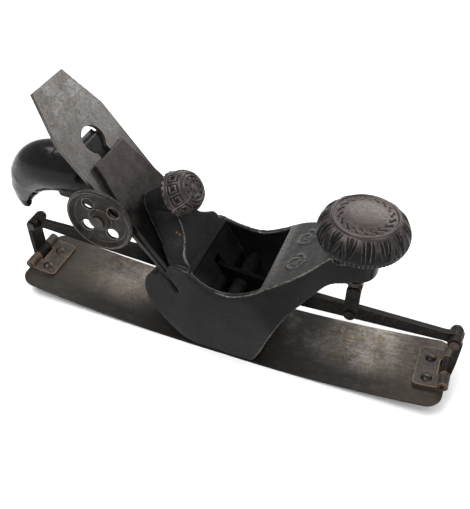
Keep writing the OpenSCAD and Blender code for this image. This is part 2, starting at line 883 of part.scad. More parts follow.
module clamp_knob() {
    k = clamp_r;
    color(bronze)
        on_bed() translate([-clamp_s, 0, 0])
            difference() {
                union() {
                    rotate_extrude($fn = 96)
                        polygon([
                            [0, 20.5], [6, 20.5], [7, 22], [k - 2, 22.4], [k - 0.5, 23.4],
                            [k - 0.3, 24.8], [k - 1, 26], [k - 1.4, 28], [k - 2.2, 31],
                            [k - 3.4, 33], [k - 4.6, 33.8], [k - 6, 33.4], [0, 33.8]
                        ]);
                    for (i = [0:23])
                        rotate(i * 15) translate([k - 1.2, 0, 22.8]) cylinder(r = 1.2, h = 2.4);
                }
                cylinder(r = 3, h = 29);
            }
}

module clamp_screw() {
    color(steel)
        on_bed() translate([-clamp_s, 0, 0]) {
            translate([0, 0, 4.7]) cylinder(r = 3, h = 24.3);
        }
}

body_casting();
sole_centre();
sole_screws();
lever_pivot_pins();
pivot_spacers();
knob_retaining_pin();
knob_washer();
lever_cap();
toe_sole();
toe_hinge_plate();
toe_rivets();
toe_hinge_pin();
toe_shackle();
heel_sole();
heel_hinge_plate();
heel_rivets();
heel_hinge_pin();
heel_shackle();
front_lever();
toe_lever_pin();
strap_lower_rivet();
rear_lever();
heel_lever_pin();
front_knob();
adjusting_screw();
link_strap();
strap_upper_rivet();
depth_wheel();
wheel_shaft();
wheel_screw();
shaft_nut();
cutting_iron();
depth_rack();
clamp_knob();
clamp_screw();
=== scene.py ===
"""An adjustable circular plane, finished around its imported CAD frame."""
import math

import bmesh
import bpy
from mathutils import Matrix, Vector


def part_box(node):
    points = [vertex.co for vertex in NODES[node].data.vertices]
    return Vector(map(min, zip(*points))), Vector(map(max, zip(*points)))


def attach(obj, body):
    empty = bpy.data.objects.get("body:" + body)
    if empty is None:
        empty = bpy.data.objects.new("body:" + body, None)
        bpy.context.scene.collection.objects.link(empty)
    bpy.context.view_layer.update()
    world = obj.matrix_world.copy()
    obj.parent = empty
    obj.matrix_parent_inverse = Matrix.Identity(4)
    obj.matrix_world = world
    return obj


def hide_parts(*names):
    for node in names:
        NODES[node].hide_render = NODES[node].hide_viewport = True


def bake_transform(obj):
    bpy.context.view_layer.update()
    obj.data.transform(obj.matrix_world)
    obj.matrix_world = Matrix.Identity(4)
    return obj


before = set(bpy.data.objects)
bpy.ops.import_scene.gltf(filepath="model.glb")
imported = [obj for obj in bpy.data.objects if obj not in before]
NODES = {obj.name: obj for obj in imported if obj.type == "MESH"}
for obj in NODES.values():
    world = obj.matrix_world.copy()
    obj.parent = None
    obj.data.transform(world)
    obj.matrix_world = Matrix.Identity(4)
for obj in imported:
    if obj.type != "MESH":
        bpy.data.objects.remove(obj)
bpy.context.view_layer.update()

MM = 0.001
TAU = 2 * math.pi

# Vertices of a CAD mesh closer than this are one vertex.
SAME_PLACE = 0.002 * MM

# The bed: its slope, and the X in mm at which the iron's upper face meets the ground.
BED_LEAN = math.radians(51)
BED_FOOT_X = 15.2

# The bridge: its foot above the iron's upper face, and its height from there, in mm.
BRIDGE_FOOT = 4.6
BRIDGE_TALL = 11.6

# A cheek: its half width at the ground, how far it leans out, and up to what height, in mm.
CHEEK_FOOT = 23.2
CHEEK_FLARE = 5.4
CHEEK_LEANS_TO = 54

# The casting's remesh: its edge length in mm, and how often its ridges are relaxed.
VOXEL = 0.62
RIDGE_PASSES = 110

# Points around the turned knobs, a whole number to each of their ornaments.
KNOB_STEPS = 480
CLAMP_STEPS = 528
SOLE_SLICES = 36


# ------------------------------------------------------------------ shapes

def centre_of(node):
    """Middle of a CAD node's box."""
    low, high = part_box(node)
    return (low + high) / 2


def add_object(name, bm, material, body, hides=()):
    """Turns a bmesh into a named piece that rides on a body."""
    mesh = bpy.data.meshes.new(name)
    bm.normal_update()
    bm.to_mesh(mesh)
    bm.free()
    mesh.polygons.foreach_set("use_smooth", [True] * len(mesh.polygons))
    piece = bpy.data.objects.new(name, mesh)
    bpy.context.scene.collection.objects.link(piece)
    mesh.materials.append(material)
    if body:
        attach(piece, body)
    if hides:
        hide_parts(*hides)
    return piece


def bake_modifiers(piece):
    """Puts the result of the piece's modifiers into its mesh."""
    bpy.context.view_layer.update()
    evaluated = piece.evaluated_get(bpy.context.evaluated_depsgraph_get())
    mesh = bpy.data.meshes.new_from_object(evaluated)
    piece.modifiers.clear()
    piece.data = mesh


def add_bevel(piece, width, angle):
    """Rounds the edges of a piece that are sharper than angle, in degrees."""
    bevel = piece.modifiers.new("bevel", "BEVEL")
    bevel.width = width * MM
    bevel.segments = 2
    bevel.limit_method = "ANGLE"
    bevel.angle_limit = math.radians(angle)


def add_smooth(piece, factor, passes, group=""):
    """Relaxes the mesh, all of it or the vertices of a group."""
    smooth = piece.modifiers.new("soft", "SMOOTH")
    smooth.factor = factor
    smooth.iterations = passes
    smooth.vertex_group = group


def soften(piece, width):
    """Rounds the sharp edges of a piece, and shades it smooth between them."""
    weld = piece.modifiers.new("weld", "WELD")
    weld.merge_threshold = SAME_PLACE
    flat = piece.modifiers.new("flat", "DECIMATE")
    flat.decimate_type = "DISSOLVE"
    flat.angle_limit = math.radians(0.6)
    add_bevel(piece, width, 30)
    piece.modifiers.new("normals", "WEIGHTED_NORMAL").weight = 80
    mesh = piece.data
    mesh.polygons.foreach_set("use_smooth", [True] * len(mesh.polygons))


def copy_of(node):
    """A bmesh of a CAD node, with its split vertices joined."""
    bm = bmesh.new()
    bm.from_mesh(NODES[node].data)
    bmesh.ops.remove_doubles(bm, verts=bm.verts, dist=SAME_PLACE)
    return bm


def frame_matrix(origin, axis):
    """A frame at origin whose Z is axis and whose X points as far up as it can."""
    z = axis.normalized()
    x = (Vector((0, 0, 1)) - z * z.z).normalized()
    matrix = Matrix((x, z.cross(x), z)).transposed().to_4x4()
    matrix.translation = origin
    return matrix


def catmull(points, steps):
    """A smooth curve through points, with steps pieces between two of them."""
    curve = []
    last = len(points) - 1
    for i in range(last):
        a, b, c, d = (points[min(max(i + k, 0), last)] for k in (-1, 0, 1, 2))
        for k in range(steps):
            t = k / steps
            curve.append(tuple(
                0.5 * (2 * q + (r - p) * t + (2 * p - 5 * q + 4 * r - s) * t * t
                       + (3 * q - p - 3 * r + s) * t ** 3)
                for p, q, r, s in zip(a, b, c, d)
            ))
    curve.append(tuple(points[last]))
    return curve


def lathe(profile, matrix, steps, lift=None):
    """A turned solid. profile holds (radius, height) in mm from one end of
    the axis to the other, and a radius of 0 is a point on the axis;
    lift(angle, k) returns what to add to point k, and what it takes away is
    kept in the attribute "carved"."""
    bm = bmesh.new()
    carved = bm.verts.layers.float.new("carved")
    rings = []
    for k, (radius, height) in enumerate(profile):
        if radius < 1e-6:
            rings.append([bm.verts.new(matrix @ Vector((0, 0, height * MM)))])
            continue
        ring = []
        for j in range(steps):
            angle = TAU * j / steps
            dr, dh = lift(angle, k) if lift else (0, 0)
            r = (radius + dr) * MM
            vert = bm.verts.new(matrix @ Vector(
                (r * math.cos(angle), r * math.sin(angle), (height + dh) * MM)
            ))
            vert[carved] = min(1, 1.6 * max(0, -dr - dh))
            ring.append(vert)
        rings.append(ring)
    for a, b in zip(rings, rings[1:]):
        for j in range(steps):
            n = (j + 1) % steps
            if len(a) == 1:
                bm.faces.new((a[0], b[n], b[j]))
            elif len(b) == 1:
                bm.faces.new((a[j], a[n], b[0]))
            else:
                bm.faces.new((a[j], a[n], b[n], b[j]))
    bmesh.ops.recalc_face_normals(bm, faces=bm.faces)
    return bm


def tube(bm, path, radii, sides=16, squash=1.0):
    """A closed tube along path, in row coordinates, with a radius at each
    point; squash narrows it along Y."""
    rings = []
    last = len(path) - 1
    for i, (point, radius) in enumerate(zip(path, radii)):
        ahead = (path[min(i + 1, last)] - path[max(i - 1, 0)]).normalized()
        across = Vector((0, 1, 0)) - ahead * ahead.y
        across.normalize()
        up = ahead.cross(across)
        rings.append([
            bm.verts.new(point + radius * (
                across * (squash * math.cos(TAU * j / sides)) + up * math.sin(TAU * j / sides)
            ))
            for j in range(sides)
        ])
    faces = []
    for a, b in zip(rings, rings[1:]):
        for j in range(sides):
            n = (j + 1) % sides
            faces.append(bm.faces.new((a[j], a[n], b[n], b[j])))
    faces.append(bm.faces.new(rings[0][::-1]))
    faces.append(bm.faces.new(rings[-1]))
    bmesh.ops.recalc_face_normals(bm, faces=faces)


# --------------------------------------------------------------- materials

class Finish:
    """Builds one procedural material on object coordinates. Lengths are in mm."""

    def __init__(self, name):
        self.material = bpy.data.materials.new(name)
        self.material.use_nodes = True
        self.tree = self.material.node_tree
        self.shader = self.tree.nodes["Principled BSDF"]
        self.place = self.tree.nodes.new("ShaderNodeTexCoord").outputs["Object"]
        self.normal = None

    def node(self, kind, **inputs):
        """Adds a shader node and feeds its inputs by name."""
        node = self.tree.nodes.new(kind)
        for key, value in inputs.items():
            self.feed(node.inputs[key.replace("_", " ")], value)
        return node

    def feed(self, socket, value):
        """Links a socket to an input, or sets the input's value."""
        if isinstance(value, bpy.types.NodeSocket):
            self.tree.links.new(value, socket)
        elif isinstance(value, tuple) and len(value) == 3 and socket.type == "RGBA":
            socket.default_value = (*value, 1)
        else:
            socket.default_value = value

    def noise(self, per_mm, detail=4.0, roughness=0.6, stretch=(1, 1, 1)):
        """Noise with about per_mm features in a millimetre."""
        mapping = self.node("ShaderNodeMapping", Vector=self.place, Scale=stretch)
        noise = self.node(
            "ShaderNodeTexNoise", Vector=mapping.outputs[0], Scale=per_mm / MM,
            Detail=detail, Roughness=roughness
        )
        return noise.outputs["Fac"]

    def step(self, value, low, high, to=(0.0, 1.0)):
        """Rises smoothly from to[0] at low to to[1] at high."""
        node = self.node("ShaderNodeMapRange", Value=value)
        node.interpolation_type = "SMOOTHSTEP"
        for key, number in zip(("From Min", "From Max", "To Min", "To Max"), (low, high, *to)):
            node.inputs[key].default_value = number
        return node.outputs["Result"]

    def math(self, operation, a, b):
        """Combines two numbers or sockets."""
        node = self.tree.nodes.new("ShaderNodeMath")
        node.operation = operation
        self.feed(node.inputs[0], a)
        self.feed(node.inputs[1], b)
        return node.outputs[0]

    def mix(self, factor, a, b):
        """Goes from colour a to colour b as factor rises."""
        node = self.tree.nodes.new("ShaderNodeMix")
        node.data_type = "RGBA"
        self.feed(node.inputs[0], factor)
        self.feed(node.inputs[6], a)
        self.feed(node.inputs[7], b)
        return node.outputs[2]

    def corner(self, radius):
        """1 on edges and in corners, within radius mm of them."""
        bevel = self.node("ShaderNodeBevel", Radius=radius * MM)
        bevel.samples = 4
        geometry = self.tree.nodes.new("ShaderNodeNewGeometry")
        dot = self.tree.nodes.new("ShaderNodeVectorMath")
        dot.operation = "DOT_PRODUCT"
        self.tree.links.new(bevel.outputs[0], dot.inputs[0])
        self.tree.links.new(geometry.outputs["Normal"], dot.inputs[1])
        return self.step(dot.outputs["Value"], 0.985, 0.86)

    def curved(self, low, high):
        """Rises with the surface's convexity, on a dense mesh."""
        geometry = self.tree.nodes.new("ShaderNodeNewGeometry")
        return self.step(geometry.outputs["Pointiness"], low, high)

    def attribute(self, name):
        """A number that the mesh carries."""
        node = self.tree.nodes.new("ShaderNodeAttribute")
        node.attribute_name = name
        return node.outputs["Fac"]

    def facing_up(self, low, high):
        """Rises as the surface turns upwards."""
        geometry = self.tree.nodes.new("ShaderNodeNewGeometry")
        split = self.node("ShaderNodeSeparateXYZ", Vector=geometry.outputs["Normal"])
        return self.step(split.outputs["Z"], low, high)

    def along(self, axis, low, high, to=(0.0, 1.0)):
        """Rises between two places, in mm, along an axis of the row frame."""
        split = self.node("ShaderNodeSeparateXYZ", Vector=self.place)
        return self.step(split.outputs[axis], low * MM, high * MM, to)

    def bump(self, height, depth):
        """Adds height, of up to depth mm, to the bump."""
        bump = self.node("ShaderNodeBump", Height=height, Distance=depth * MM)
        bump.inputs["Strength"].default_value = 1
        if self.normal:
            self.tree.links.new(self.normal, bump.inputs["Normal"])
        self.normal = bump.outputs[0]

    def done(self, colour, roughness, metallic):
        """Feeds the shader, and returns the material."""
        self.feed(self.shader.inputs["Base Color"], colour)
        self.feed(self.shader.inputs["Roughness"], roughness)
        self.feed(self.shader.inputs["Metallic"], metallic)
        if self.normal:
            self.tree.links.new(self.normal, self.shader.inputs["Normal"])
        return self.material


def japan_finish(name):
    """Black baked enamel over cast iron, worn through along its edges."""
    f = Finish(name)
    cloud = f.noise(0.03, 3)
    grain = f.noise(0.35, 5)
    fine = f.noise(1.6, 3)
    breakup = f.step(grain, 0.36, 0.56, (0.1, 1.0))
    wear = f.math("MULTIPLY", f.curved(0.51, 0.545), breakup)
    # The low corner behind the throat, around the iron's slot, stays black.
    open_edge = f.math("MAXIMUM", f.along("X", 2, 10), f.along("Z", 56, 64))
    wear = f.math("MULTIPLY", wear, open_edge)
    # The deck's lip along the throat is worn in specks.
    lip = f.math("MULTIPLY", f.along("X", 33, 29), f.along("X", 26, 28))
    lip = f.math("MULTIPLY", lip, f.facing_up(0.4, 0.8))
    wear = f.math("MAXIMUM", wear, f.math("MULTIPLY", lip, f.step(fine, 0.42, 0.56)))
    chip = f.math("MULTIPLY", f.step(f.noise(0.16, 6, 0.7), 0.66, 0.69), f.step(cloud, 0.5, 0.6))
    colour = f.mix(f.step(cloud, 0.35, 0.65), (0.004, 0.004, 0.0045), (0.009, 0.009, 0.009))
    # Painted sheen: surfaces that face up, the deck most, are painted lighter grey in place of the
    # sky's reflection.
    up_facing_sheen = f.math("MULTIPLY", f.facing_up(0.3, 0.9), f.step(grain, 0.3, 0.7, (0.28, 0.48)))
    up_facing_sheen = f.math("MULTIPLY", up_facing_sheen, f.along("X", 20, 31, (0.25, 1)))
    colour = f.mix(up_facing_sheen, colour, (0.075, 0.073, 0.071))
    # The hand keeps the tail horn polished.
    polish = f.along("X", -66, -84, (0, 0.75))
    colour = f.mix(polish, colour, (0.021, 0.0205, 0.02))
    colour = f.mix(f.math("MULTIPLY", chip, 0.8), colour, (0.16, 0.085, 0.045))
    colour = f.mix(f.math("MULTIPLY", wear, 0.6), colour, (0.2, 0.185, 0.17))
    f.bump(cloud, 0.35)
    f.bump(grain, 0.055)
    f.bump(fine, 0.01)
    rough = f.mix(wear, f.step(grain, 0.3, 0.7, (0.13, 0.3)), (0.42, 0.42, 0.42))
    f.shader.inputs["Specular IOR Level"].default_value = 0.07
    return f.done(colour, rough, f.math("MAXIMUM", f.math("MULTIPLY", wear, 0.8), polish))


def bronze_finish(name, ground, crest, hollow, shaded=None):
    """Dark bronzed iron: darker in its hollows, rubbed on its crests. shaded
    holds the two heights, in mm, between which it turns to the hollow colour."""
    f = Finish(name)
    cloud = f.noise(0.07, 4)
    grain = f.noise(0.8, 5)
    colour = f.mix(f.step(cloud, 0.35, 0.65), ground, tuple(1.35 * c for c in ground))
    colour = f.mix(f.step(grain, 0.5, 0.75, (0, 0.5)), colour, (0.1, 0.075, 0.06))
    if shaded:
        # The rim catches less light than the crown.
        colour = f.mix(f.along("Z", *shaded), colour, hollow)
    # Darker in concave places and in the carved recesses.
    hollow_dark = f.math("MAXIMUM", f.curved(0.497, 0.46), f.attribute("carved"))
    colour = f.mix(f.math("MULTIPLY", hollow_dark, 0.92), colour, hollow)
    rub = f.math("MULTIPLY", f.curved(0.505, 0.57), f.step(grain, 0.3, 0.6))
    colour = f.mix(rub, colour, crest)
    f.bump(grain, 0.05)
    f.bump(cloud, 0.1)
    return f.done(colour, f.step(grain, 0.3, 0.7, (0.34, 0.56)), 0.75)


def steel_finish(name, dark, light, spot, spots, edge, grind=(1, 1, 1),
                 rough=(0.32, 0.55), metallic=0.85, corner=0.5, fades=(), pits=0.06, gleam=0.5,
                 flecks=1.5, dulls=0.0):
    """Old steel: mottled, stained in patches, brighter along its edges. spots
    is how strong the stains are, flecks how bright the small ones, and gleam the
    specular level. Each fade is a change of colour, (colour, (axis, low, high),
    ...), that also makes the surface rougher by dulls."""
    f = Finish(name)
    cloud = f.noise(0.035, 5, 0.65)
    patch = f.noise(0.13, 6, 0.7)
    grain = f.noise(0.9, 5, 0.7)
    lines = f.noise(0.8, 3, 0.5, grind)
    colour = f.mix(f.step(cloud, 0.34, 0.66), dark, light)
    colour = f.mix(f.step(lines, 0.46, 0.64, (0, 0.22)), colour, tuple(0.5 * c for c in dark))
    colour = f.mix(f.step(grain, 0.44, 0.66, (0, 0.6)), colour, tuple(0.4 * c for c in dark))
    fleck = f.step(f.noise(0.45, 7, 0.85), 0.52, 0.58)
    fleck = f.math("MULTIPLY", fleck, f.step(patch, 0.4, 0.54))
    colour = f.mix(f.math("MULTIPLY", fleck, 0.7), colour, tuple(flecks * c for c in spot))
    pocks = f.step(f.noise(0.33, 7, 0.85), 0.565, 0.61, (0, 0.8))
    colour = f.mix(pocks, colour, tuple(0.3 * c for c in dark))
    stain = f.math("MULTIPLY", f.step(patch, 0.5, 0.64), spots)
    colour = f.mix(stain, colour, spot)
    rim = f.math("MULTIPLY", f.corner(corner), f.step(grain, 0.3, 0.55))
    colour = f.mix(f.math("MULTIPLY", rim, 0.8), colour, edge)
    gloss = f.math("ADD", f.step(patch, 0.35, 0.7, rough), f.step(lines, 0.3, 0.7, (-0.04, 0.06)))
    for tint, *spans in fades:
        shift = f.along(*spans[0])
        for span in spans[1:]:
            shift = f.math("MULTIPLY", shift, f.along(*span))
        ragged = f.math("MULTIPLY", shift, f.step(patch, 0.3, 0.7, (0.88, 1.08)))
        colour = f.mix(ragged, colour, tint)
        gloss = f.math("ADD", gloss, f.math("MULTIPLY", ragged, dulls))
    f.bump(patch, pits)
    f.bump(grain, 0.03)
    f.bump(lines, 0.012)
    f.shader.inputs["Specular IOR Level"].default_value = gleam
    return f.done(colour, gloss, f.math("SUBTRACT", metallic, f.math("MULTIPLY", stain, 0.4)))


LENGTHWAYS = (0.06, 1, 1)
CASTING = japan_finish("japanned_casting")
KNOB = bronze_finish(
    "bronzed_knob", (0.047, 0.0378, 0.0355), (0.115, 0.096, 0.09), (0.004, 0.004, 0.004), (107, 95)
)
CLAMP = bronze_finish(
    "bronzed_clamp", (0.028, 0.0232, 0.0215), (0.16, 0.135, 0.122), (0.004, 0.004, 0.004)
)
SOLE = steel_finish(
    "old_sole_steel", (0.046, 0.0395, 0.035), (0.172, 0.154, 0.137), (0.1, 0.076, 0.05), 0.65,
    edge=(0.3, 0.27, 0.24), grind=LENGTHWAYS, rough=(0.34, 0.55), flecks=2.4,
    dulls=0.12,
    fades=(
        # Painted reflection: under the casting the sole is painted near black, in place of the dark
        # casting mirrored in the steel.
        ((0.004, 0.0036, 0.0033), ("X", 84, 44), ("X", -62, -34)),
        # Painted shade: darker towards the near side, a lighting gradient.
        ((0.013, 0.011, 0.01), ("Y", 4, -18)),
        ((0.034, 0.029, 0.025), ("X", -64, -118)),
        ((0.04, 0.032, 0.026), ("X", 82, 116)),
    )
)
IRON = steel_finish(
    "iron_steel", (0.085, 0.08, 0.077), (0.12, 0.115, 0.111), (0.062, 0.05, 0.04), 0.35,
    edge=(0.3, 0.28, 0.265), rough=(0.34, 0.5), pits=0.03,
    # The iron turns darker downwards, and where it runs under the bridge into the throat it is painted
    # near black, painted shade.
    fades=(((0.035, 0.031, 0.03), ("Z", 104, 78)), ((0.004, 0.004, 0.004), ("Z", 66, 48)))
)
CAP = steel_finish(
    "cap_steel", (0.034, 0.0295, 0.0285), (0.047, 0.0412, 0.0395), (0.04, 0.031, 0.025), 0.35,
    # Painted shadow: the cap is painted darker downwards, where the bridge's shadow falls on it.
    edge=(0.2, 0.18, 0.16), rough=(0.3, 0.5), fades=(((0.012, 0.011, 0.011), ("Z", 96, 70)),), pits=0.03
)
WHEEL = steel_finish(
    "worn_wheel_iron", (0.007, 0.0064, 0.006), (0.014, 0.0126, 0.0117), (0.04, 0.027, 0.019), 0.3,
    # The bright edge colour is partly wear and partly a painted reflection along the raised rim.
    edge=(0.4, 0.365, 0.335), metallic=0.55, corner=0.9, gleam=0.25
)
DARK = steel_finish(
    "dark_lever_steel", (0.006, 0.0058, 0.0056), (0.014, 0.013, 0.0125), (0.024, 0.016, 0.011), 0.4,
    edge=(0.16, 0.145, 0.13), grind=LENGTHWAYS, metallic=0.3, corner=0.35, gleam=0.07, dulls=0.5,
    # Painted shade: the levers are painted near black inside the throat, under the casting.
    fades=(((0.001, 0.001, 0.001), ("X", 54, 41), ("X", -60, -45)),)
)
PIN = steel_finish(
    "pin_steel", (0.02, 0.018, 0.0165), (0.05, 0.045, 0.041), (0.07, 0.04, 0.024), 0.5,
    edge=(0.2, 0.175, 0.15), corner=0.3
)
RUST = steel_finish(
    "rusted_plate", (0.018, 0.0142, 0.012), (0.036, 0.029, 0.024), (0.068, 0.042, 0.023), 0.6,
    edge=(0.25, 0.165, 0.085), metallic=0.4, rough=(0.5, 0.75), corner=1.4
)
# Painted shade: the pins, spacers, screws and rack inside the casting are painted near black and matte,
# in place of the shade there.
THROAT_SHADE_STEEL = steel_finish(
    "inner_steel_painted_shade", (0.004, 0.004, 0.004), (0.008, 0.0078, 0.0075), (0.012, 0.009, 0.007), 0.3,
    edge=(0.02, 0.019, 0.018), metallic=0.0, corner=0.3, rough=(0.6, 0.8), gleam=0.03
)
BRIGHT = steel_finish(
    "bright_screw_steel", (0.19, 0.18, 0.168), (0.3, 0.285, 0.265), (0.16, 0.1, 0.06), 0.4,
    edge=(0.45, 0.42, 0.38), corner=0.3
)


# ------------------------------------------------------------------ pieces

def sole_half(node, name):
    """One spring half of the sole, bent between the casting and its end."""
    bm = copy_of(node)
    bmesh.ops.dissolve_limit(bm, angle_limit=math.radians(0.3), verts=bm.verts, edges=bm.edges)
    low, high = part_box(node)
    for i in range(1, SOLE_SLICES):
        x = low.x + (high.x - low.x) * i / SOLE_SLICES
        bmesh.ops.bisect_plane(
            bm, geom=bm.verts[:] + bm.edges[:] + bm.faces[:], dist=1e-6,
            plane_co=(x, 0, 0), plane_no=(1, 0, 0)
        )
    bmesh.ops.triangulate(bm, faces=[f for f in bm.faces if len(f.verts) > 4])
    piece = add_object(name, bm, SOLE, None, (node,))
    add_bevel(piece, 0.22, 40)
    piece.modifiers.new("normals", "WEIGHTED_NORMAL").weight = 80
    bake_modifiers(piece)
    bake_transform(piece)


def casting():
    """The casting: the CAD shape with its cast details, run together."""
    bm = copy_of("body_casting")
    add_deck_ornament(bm)
    add_horn(bm)
    add_bridge_skin(bm)
    piece = add_object("casting_japanned", bm, CASTING, "frame", ("body_casting",))
    remesh = piece.modifiers.new("cast", "REMESH")
    remesh.mode = "VOXEL"
    remesh.voxel_size = VOXEL * MM
    add_smooth(piece, 0.5, 4)
    bake_modifiers(piece)
    round_ridges(piece)
    mesh = piece.data
    mesh.polygons.foreach_set("use_smooth", [True] * len(mesh.polygons))


def round_ridges(piece):
    """Rounds the ridge where each leaning cheek turns in towards the nose."""
    # How far out the cheek may reach at each X, in mm, from the nose to the tail.
    plan = catmull([
        (70, 10.7), (60, 13.8), (55, 16.5), (48, 21), (40, 25), (32, 27.4), (22, 28.6), (8, 28.6),
        (-2, 27.9), (-12, 26), (-22, 23.6), (-32, 22.2), (-46, 20.5)
    ], 4)
    group = piece.vertex_groups.new(name="ridges")
    for vert in piece.data.vertices:
        x, y, z = vert.co / MM
        on_cheek = -40 < x < 62 and 1 < z < 75 and abs(vert.normal.y) > 0.75
        if not on_cheek:
            continue
        k = next(i for i, point in enumerate(plan) if point[0] < x)
        (x1, y1), (x0, y0) = plan[k - 1], plan[k]
        turned = y0 + (y1 - y0) * (x - x0) / (x1 - x0)
        leaning = CHEEK_FOOT + CHEEK_FLARE * min(1, z / CHEEK_LEANS_TO)
        apart = abs(turned - leaning) / 3
        if apart < 1 and abs(abs(y) - min(turned, leaning)) < 0.6:
            group.add([vert.index], min(1, 2 * (1 - apart)), "REPLACE")
    add_smooth(piece, 0.5, RIDGE_PASSES, "ridges")
    bake_modifiers(piece)


def bed_place(up_bed, half, offset):
    """A point by its distance up the bed, its Y, and its height above the
    upper face of the iron, all in mm."""
    x = BED_FOOT_X - up_bed * math.cos(BED_LEAN) + offset * math.sin(BED_LEAN)
    z = up_bed * math.sin(BED_LEAN) + offset * math.cos(BED_LEAN)
    return Vector((x, half, z)) * MM


def add_bridge_skin(bm):
    """Smooth sides for the bridge, from its foot up to its necked top."""
    foot = [
        (64, 22), (70, 21.2), (75, 18.6), (80, 15.4), (86, 12.8), (92, 10.8), (98, 7.8), (102.4, 2)
    ]
    top = [
        (64, 21.6), (70, 20.6), (73.6, 15.7), (77.7, 10.8), (86, 6.7), (92, 7.2), (98, 5.8),
        (102.4, 1)
    ]
    levels = 8
    rings = []
    for i in range(levels + 1):
        t = i / levels
        offset = BRIDGE_FOOT + BRIDGE_TALL * t
        # The sides rise a little before they sweep in.
        t = max(0, 1.25 * t - 0.25)
        side = catmull([
            tuple(a * (1 - t) + b * t for a, b in zip(p, q)) for p, q in zip(foot, top)
        ], 4)
        outline = [(s, -y) for s, y in side] + [(s, y) for s, y in reversed(side)]
        rings.append([bm.verts.new(bed_place(s, y, offset)) for s, y in outline])
    faces = [bm.faces.new(rings[0][::-1]), bm.faces.new(rings[-1])]
    count = len(rings[0])
    for a, b in zip(rings, rings[1:]):
        for j in range(count):
            n = (j + 1) % count
            faces.append(bm.faces.new((a[j], a[n], b[n], b[j])))
    bmesh.ops.recalc_face_normals(bm, faces=faces)


def add_horn(bm):
    """The tail horn as one smooth curve through its CAD spheres."""
    spheres = [
        (-86, 87.4, 13.2), (-90, 87.5, 14.3), (-102, 86.8, 15.3), (-111.5, 83.3, 14.5),
        (-119.4, 76.6, 12.1), (-124.8, 67.8, 8.9), (-127.8, 59.6, 5.5), (-127.9, 53.6, 3.5),
        (-127.8, 50.8, 1.9)
    ]
    route = catmull(spheres, 8)
    tube(bm, [Vector((x, 0, z)) * MM for x, z, r in route], [r * MM for x, z, r in route], 40, 0.8)


def add_deck_ornament(bm):
    """Two raised scrolls on the deck in front of the throat."""
    slope = Vector((1, 0, 0.6)).normalized()
    for side in (-1, 1):
        middle = Vector((40.3, 10 * side, 71.6))
        ring = []
        for i in range(33):
            turn = TAU * i / 20
            size = 6.4 - 0.155 * i
            flat = Vector((0, size * math.cos(turn), 0)) + slope * size * math.sin(turn)
            ring.append((middle + flat) * MM)
        tube(bm, ring, [0.75 * MM] * len(ring), 8)
        bar = [(middle + slope * (d - 2)) * MM for d in range(5)]
        tube(bm, bar, [0.7 * MM] * len(bar), 8)


def front_knob():
    """The cast front knob: rings, a leafy band and a beaded rim."""
    low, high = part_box("front_knob")
    k = (high.x - low.x) / 2 / MM
    top = high.z / MM
    axis = Vector(((low.x + high.x) / 2, 0, 0))
    under = [
        (0, -33.8), (6.5, -33.8), (6.5, -31.1), (5, -31.1), (5, -28.1), (6.5, -28.1),
        (6.5, -23.4), (9, -23.4), (9, -21.2), (8, -19.6), (12, -18.2), (k - 4.2, -18.1)
    ]
    rim = catmull([
        (k - 4.2, -18.1), (k - 2.6, -17.4), (k - 1.3, -15.9), (k - 0.6, -14.2), (k - 0.1, -12.6),
        (k - 0.3, -10.2), (k - 1, -7.8), (k - 2.3, -5.5), (k - 4.2, -3.7), (k - 6, -2.7)
    ], 8)
    crown = catmull([
        (k - 6, -2.7), (k - 6.5, -1.9), (k - 7.1, -1.5), (k - 7.7, -1.9), (k - 8.2, -2.1),
        (k - 9.6, -1.7), (k - 11.2, -1.3), (k - 12.4, -0.95), (k - 13.4, -0.75)
    ], 6)
    dome = [(r, -0.02 - 0.7 * (r / 10.2) ** 2) for r in (9, 7.5, 5.5, 3, 0)]
    profile = under + rim[1:] + crown[1:] + dome
    first_rim = len(under)
    first_crown = first_rim + len(rim) - 1

    # The ornaments: how many go around, and from where to where each reaches, in mm.
    beads, beads_low, beads_high = 64, -17.8, -13
    leaves, leaves_low, leaves_high = 15, -12.2, -2.9
    cuts, cuts_inner, cuts_outer = 18, k - 12.2, k - 8.3

    def lift(angle, index):
        r, h = profile[index]
        if first_rim <= index < first_crown:
            if h < beads_high:
                bead = abs(math.sin(angle * beads / 2))
                weight = min(1, max(0, (h - beads_low) / 1.2)) * min(1, (beads_high - h) / 0.7)
                return (1.1 * weight * (bead - 0.85), 0)
            if leaves_low < h < leaves_high:
                # Leaves side by side, each with veins that fan out downwards.
                part = (h - leaves_low) / (leaves_high - leaves_low)
                across = (angle / TAU * leaves) % 1 - 0.5
                bend = 0.5 * math.sin(angle * 4) * (1 - part)
                vein = math.cos(TAU * (abs(across) * (1.9 + 0.9 * part) + 0.35 * part + bend))
                gap = max(0, abs(across) - 0.4 + 0.08 * part) / 0.1
                weight = math.sin(math.pi * part) ** 0.4
                carve = -weight * max(0.85 * max(0, vein) ** 1.3, min(1, gap))
                return (carve * 0.75, carve * 0.6)
        if cuts_inner < r < cuts_outer and h > leaves_high:
            # A ring of small cut leaves, two strokes to a leaf.
            part = (r - cuts_inner) / (cuts_outer - cuts_inner)
            stroke = math.cos(angle * cuts + 2 * math.sin(TAU * part))
            weight = math.sin(math.pi * part)
            return (0, -0.7 * weight * max(0, stroke - 0.15) / 0.85)
        return (0, 0)

    matrix = Matrix.Translation(axis + Vector((0, 0, top * MM)))
    bm = lathe(profile, matrix, KNOB_STEPS, lift)
    piece = add_object("front_knob_cast", bm, KNOB, "knob", ("front_knob",))
    add_smooth(piece, 0.5, 1)
    bake_modifiers(piece)


